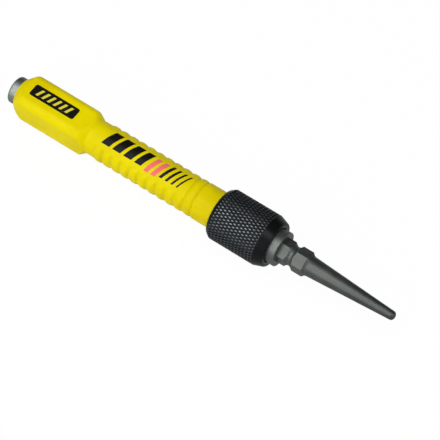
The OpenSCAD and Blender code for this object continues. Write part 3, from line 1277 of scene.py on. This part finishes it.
@dataclass(frozen=True)
class Prints:
    """Plain printed panel on the head and slanted bars on the grip, none of them a sign or a letter."""

    black: Finish
    red: Finish
    yellow: Finish
    panel_x: Pair = (8.9, 29.3)
    panel_y: Pair = (-2.6, 2.7)
    panel_z: float = 7.5
    panel_corner: float = 0.9
    corner_steps: int = 6
    mark_count: int = 6
    mark_first: float = 2.2
    mark_pitch: float = 2.7
    mark_w: float = 1.15
    mark_slant: float = 1.35
    mark_margin: float = 1.1
    grip_r: float = 6.956
    proud: float = 0.02
    sunk: float = 0.08
    heavy: tuple[Bar, ...] = (Bar(43.4, 3.6), Bar(48.4, 3.6), Bar(53.4, 3.6), Bar(58.4, 3.0))
    accent: tuple[Bar, ...] = (Bar(63.0, 1.9, (-38.0, 22.0)), Bar(66.2, 1.9, (-38.0, 22.0)))
    light: tuple[Bar, ...] = (Bar(69.6, 1.3), Bar(72.3, 1.1), Bar(74.9, 0.9), Bar(77.3, 0.7))

    def slab(self, name: str, outline: Sequence[Point], top: float) -> bpy.types.Object:
        """A thin flat slab let into the head's upper flat.

        Args:
            name: The piece's name.
            outline: Its outline seen from above, against the clock.
            top: Height of its top.

        Returns:
            The object.
        """
        count = len(outline)
        vertices = [(x * MM, y * MM, z * MM) for z in (self.panel_z - self.sunk, top) for x, y in outline]
        faces: list[Sequence[int]] = [tuple(reversed(range(count))), tuple(range(count, 2 * count))]
        faces += [(k, (k + 1) % count, count + (k + 1) % count, count + k) for k in range(count)]
        return new_piece(name, vertices, faces)

    def panel_outline(self) -> list[Point]:
        """The outline of the panel with its rounded corners, against the clock.

        Returns:
            The outline's points.
        """
        (x0, x1), (y0, y1), corner = self.panel_x, self.panel_y, self.panel_corner
        signs = ((1, 1), (-1, 1), (-1, -1), (1, -1))
        outline = []
        for k, (right, up) in enumerate(signs):
            x = x1 - corner if right > 0 else x0 + corner
            y = y1 - corner if up > 0 else y0 + corner
            for step in range(self.corner_steps + 1):
                angle = math.radians(90 * (k + step / self.corner_steps))
                outline.append((x + corner * math.cos(angle), y + corner * math.sin(angle)))
        return outline

    def bars(self, name: str, bars: Sequence[Bar]) -> bpy.types.Object:
        """Thin curved bars let into the grip's smooth panel.

        Args:
            name: The piece's name.
            bars: The bars.

        Returns:
            The object.
        """
        top, foot = self.grip_r + self.proud, self.grip_r - self.sunk
        vertices: list[Sequence[float]] = []
        faces: list[Sequence[int]] = []
        for bar in bars:
            base = len(vertices)
            for k in range(bar.steps + 1):
                share = k / bar.steps
                angle = math.radians(bar.angles[0] + share * (bar.angles[1] - bar.angles[0]))
                rear = bar.start + bar.slant * share
                front = rear + bar.width
                for x, radius in ((rear, top), (front, top), (front, foot), (rear, foot)):
                    vertices.append((x * MM, radius * math.sin(angle) * MM, radius * math.cos(angle) * MM))
            for near in range(base, base + 4 * bar.steps, 4):
                far = near + 4
                faces += [(near + i, near + (i + 1) % 4, far + (i + 1) % 4, far + i) for i in range(4)]
            last = base + 4 * bar.steps
            faces += [(base + 3, base + 2, base + 1, base), (last, last + 1, last + 2, last + 3)]
        return new_piece(name, vertices, faces)

    def build(self) -> None:
        """Builds the prints and hands them to the frame."""
        panel = self.slab("head_panel", self.panel_outline(), self.panel_z + self.proud)
        pieces = [
            (panel, self.black, Slot.BLACK_PRINT),
            (self.bars("grip_bars_heavy", self.heavy), self.black, Slot.BLACK_PRINT),
            (self.bars("grip_bars_light", self.light), self.black, Slot.BLACK_PRINT),
            (self.bars("grip_bars_accent", self.accent), self.red, Slot.RED_PRINT),
        ]
        low, high = self.panel_y[0] + self.mark_margin, self.panel_y[1] - self.mark_margin
        for k in range(self.mark_count):
            x = self.panel_x[0] + self.mark_first + self.mark_pitch * k
            ends = (x, low), (x + self.mark_slant, high)
            outline = [ends[0], (x + self.mark_w, low), (x + self.mark_slant + self.mark_w, high), ends[1]]
            mark = self.slab(f"head_panel_bar_{k + 1}", outline, self.panel_z + 2 * self.proud)
            pieces.append((mark, self.yellow, Slot.PLASTIC))
        for piece, finish, slot in pieces:
            piece.data.materials.append(bpy.data.materials.get(finish.name) or finish.material())
            finished(piece, Body.HANDLE, slot)


def dress_chuck_parts(frame: Frame, finish: Finish) -> None:
    """Gives the CAD's washers, ring and clip their finish.

    Args:
        frame: The loaded frame.
        finish: The finish.
    """
    material = finish.material()
    for name in ("seat_washer", "thrust_washer", "retaining_ring", "lock_clip"):
        node = frame["nodes"][name]
        node.data.materials.clear()
        node.data.materials.append(material)
        LOG.info("%s: dressed in %s", name, material.name)


# The studio


@dataclass(frozen=True)
class Lamp:
    """A rectangular soft lamp that looks at the tool's middle. Its distance and size are in metres."""

    name: str
    direction: Place
    distance: float
    size: Pair
    watts: float
    colour: Colour = WHITE


@dataclass(frozen=True)
class Studio:
    """The floor, the lamps, the world and the camera.

    The floor's half width and the camera's clipping distances are in metres. The camera stands where the
    photograph was taken from: it sees the place that it aims at in the aimed pixel of the picture.
    """

    middle: Place = (88.0, 0.0, 0.0)
    lamps: tuple[Lamp, ...] = (
        Lamp("key_lamp", (-0.2, -0.8, 0.52), 1.1, (1.0, 0.6), 5.0),
        Lamp("top_lamp", (-0.2, -0.27, 0.95), 1.3, (0.9, 0.9), 7.7),
        Lamp("front_lamp", (0.36, -0.05, 0.93), 1.3, (0.3, 0.45), 2.0),
        Lamp("end_lamp", (0.9, 0.06, 0.37), 1.2, (0.25, 0.35), 3.6, (0.85, 0.93, 1.0)),
    )
    floor_head: Point = (5.2, -7.5)
    floor_collar: Point = (95.96, -10.348)
    floor_half: float = 2.0
    ambient: float = 0.24
    mirrored: float = 0.49
    dark_side: float = 0.45
    dark_band: Pair = (-0.3, 0.7)
    azimuth: float = 37.55
    elevation: float = 58.66
    roll: float = -2.18
    distance: float = 1000.0
    focal_px: float = 2739.8
    frame_px: float = 440.0
    aim: Place = (95.0, 0.0, 0.0)
    aim_px: Point = (220.9, 212.4)
    sensor: float = 36.0
    clip: Pair = (0.05, 20.0)

    def build(self) -> None:
        """Makes the floor, the lamps, the world and the camera."""
        self.add_floor()
        for lamp in self.lamps:
            self.add_lamp(lamp)
        self.add_world()
        self.add_camera()
        bpy.context.scene.view_settings.view_transform = "Standard"

    def add_floor(self) -> None:
        """Lays the floor so that the collar and the head's lower flat rest on it."""
        (x0, z0), (x1, z1) = self.floor_head, self.floor_collar
        half = self.floor_half
        vertices = [
            (x, y, (z0 + (z1 - z0) / (x1 - x0) * (x / MM - x0)) * MM)
            for x, y in ((-half, -half), (half, -half), (half, half), (-half, half))
        ]
        floor = new_piece("studio_floor", vertices, [(0, 1, 2, 3)])
        floor.data.materials.append(StudioFloor().material())

    def add_lamp(self, lamp: Lamp) -> None:
        """Hangs a lamp and turns it to the tool's middle.

        Args:
            lamp: The lamp.
        """
        light = bpy.data.lights.new(lamp.name, "AREA")
        light.shape = "RECTANGLE"
        light.size, light.size_y = lamp.size
        light.energy = lamp.watts
        light.color = lamp.colour
        holder = bpy.data.objects.new(lamp.name, light)
        back = Vector(lamp.direction).normalized()
        across = Vector((1, 0, 0))
        across = (across - back * across.dot(back)).normalized()
        self.put(holder, Vector(self.middle) * MM + back * lamp.distance, across, back.cross(across), back)

    def put(self, holder: bpy.types.Object, place: Vector, right: Vector, up: Vector, back: Vector) -> None:
        """Puts a lamp or the camera in its place and in the scene.

        Args:
            holder: The lamp or the camera.
            place: Its place, in metres.
            right: Where its own X axis points.
            up: Where its own Y axis points.
            back: Where its own Z axis points, away from what it looks at.
        """
        turn = Matrix((right, up, back)).transposed()
        holder.matrix_world = Matrix.Translation(place) @ turn.to_4x4()
        bpy.context.scene.collection.objects.link(holder)

    def add_world(self) -> None:
        """A sky white to the camera, pale in reflections and darker on the far side, and dim as light."""
        world = bpy.data.worlds.new("studio")
        world.use_nodes = True
        world.node_tree.nodes.clear()
        bpy.context.scene.world = world
        nodes = Nodes(world.node_tree)
        camera, sent_on = nodes.rays()
        side = nodes.node("ShaderNodeSeparateXYZ", None, {0: nodes.node("ShaderNodeTexCoord")})
        image = self.mirrored - self.ambient - self.dark_side * nodes.between(side.part(1), *self.dark_band)
        strength = self.ambient + (1.0 - self.ambient) * camera + image * sent_on
        sky = nodes.node("ShaderNodeBackground", None, {"Color": WHITE, "Strength": strength})
        nodes.node("ShaderNodeOutputWorld", None, {"Surface": sky})

    def add_camera(self) -> None:
        """Sets the camera at the photograph's viewing angle."""
        azimuth, elevation, roll = (math.radians(a) for a in (self.azimuth, self.elevation, self.roll))
        sine, cosine = math.sin(azimuth), math.cos(azimuth)
        back = Vector((sine * math.cos(elevation), -cosine * math.cos(elevation), math.sin(elevation)))
        level = Vector((cosine, sine, 0))
        upright = back.cross(level)
        right = level * math.cos(roll) + upright * math.sin(roll)
        up = upright * math.cos(roll) - level * math.sin(roll)
        per_px = self.distance / self.focal_px
        off_right = (self.aim_px[0] - self.frame_px / 2) * per_px
        off_up = (self.frame_px / 2 - self.aim_px[1]) * per_px
        target = Vector(self.aim) - right * off_right - up * off_up
        camera = bpy.data.cameras.new("camera")
        camera.sensor_width = self.sensor
        camera.lens = self.focal_px * self.sensor / self.frame_px
        camera.clip_start, camera.clip_end = self.clip
        holder = bpy.data.objects.new("camera", camera)
        self.put(holder, (target + back * self.distance) * MM, right, up, back)
        bpy.context.scene.camera = holder


def main() -> None:
    """Builds the pieces in order and reports each one."""
    logging.basicConfig(level=logging.INFO, format="%(name)s: %(message)s")
    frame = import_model()
    Studio().build()
    Handle(MouldedPlastic()).build()
    shaft_steel = TurnedSteel(
        "satin_shaft_steel",
        dark=(0.235, 0.262, 0.251),
        light=(0.3, 0.333, 0.318),
        roughness=0.48,
        rings_per_metre=3600.0,
        ring_depth=0.003,
    )
    StrikingShaft(shaft_steel).build()
    Collar(BlackOxide()).build()
    spring_steel = TurnedSteel(
        "spring_steel",
        dark=(0.4, 0.4, 0.42),
        light=(0.55, 0.55, 0.56),
        roughness=0.3,
        rings_per_metre=2600.0,
        ring_depth=0.002,
    )
    Spring(spring_steel).build()
    bit_steel = TurnedSteel(
        "bit_steel",
        dark=(0.113, 0.124, 0.117),
        light=(0.147, 0.162, 0.152),
        roughness=0.45,
        ring_depth=0.0012,
        metal=0.75,
        # painted light: past the flange the steel darkens, which keeps the flange lighter against the
        # collar's shadow; the later stretches darken the taper towards the tip
        darker_stretches=((122.6, 122.9, 0.26), (132.0, 137.0, 0.14), (138.0, 176.0, 0.24)),
        speck_share=0.12,
    )
    Bit(bit_steel).build()
    Prints(
        Ink("black_ink"),
        Ink("red_ink", (0.85, 0.16, 0.15), roughness=0.42),
        Ink("yellow_ink", (0.72, 0.62, 0.05), (0.02, 0.02, 0.02)),
    ).build()
    dress_chuck_parts(frame, spring_steel)


if __name__ == "__main__":
    main()
